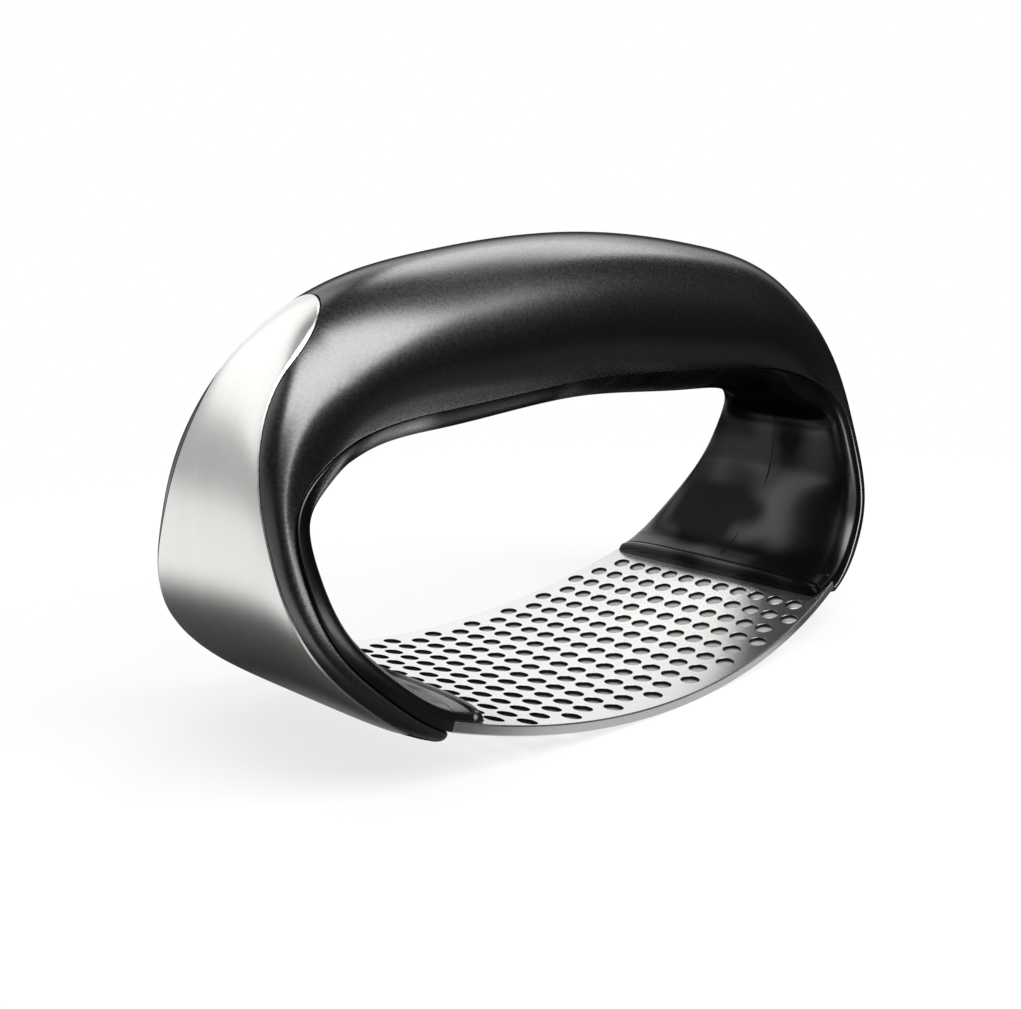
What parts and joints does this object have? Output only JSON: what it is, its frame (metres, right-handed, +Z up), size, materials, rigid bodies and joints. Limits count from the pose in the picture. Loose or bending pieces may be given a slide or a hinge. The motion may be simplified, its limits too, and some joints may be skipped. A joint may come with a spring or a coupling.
{
  "type": "garlic rocker",
  "caption": "Ring-shaped garlic rocker: a black moulded grip over a curved, perforated steel plate that is rocked by hand to crush cloves, with brushed steel plates on its ends.",
  "frame": {"origin": "under the middle of the crushing plate, on the surface that it rocks on", "axes": "+Z up through the crown of the grip, +X along the ring's length, +Y across the ring"},
  "size_m": [0.106, 0.0416, 0.0559],
  "materials": {
    "black_plastic": "satin black with a very fine moulded grain",
    "liner_plastic": "smooth black with a soft gloss",
    "polished_steel": "polished stainless steel",
    "brushed_steel": "fine brushed stainless steel",
    "screw_steel": "plain stainless steel",
    "adhesive": "foam adhesive"
  },
  "bodies": {
    "root": {"handle_shell": "black_plastic", "inner_liner": "liner_plastic", "crushing_plate": "polished_steel", "right_end_plate": "brushed_steel", "left_end_plate": "brushed_steel", "right_adhesive_pad": "adhesive", "left_adhesive_pad": "adhesive", "right_front_screw": "screw_steel", "right_back_screw": "screw_steel", "left_front_screw": "screw_steel", "left_back_screw": "screw_steel"}
  },
  "joints": []
}
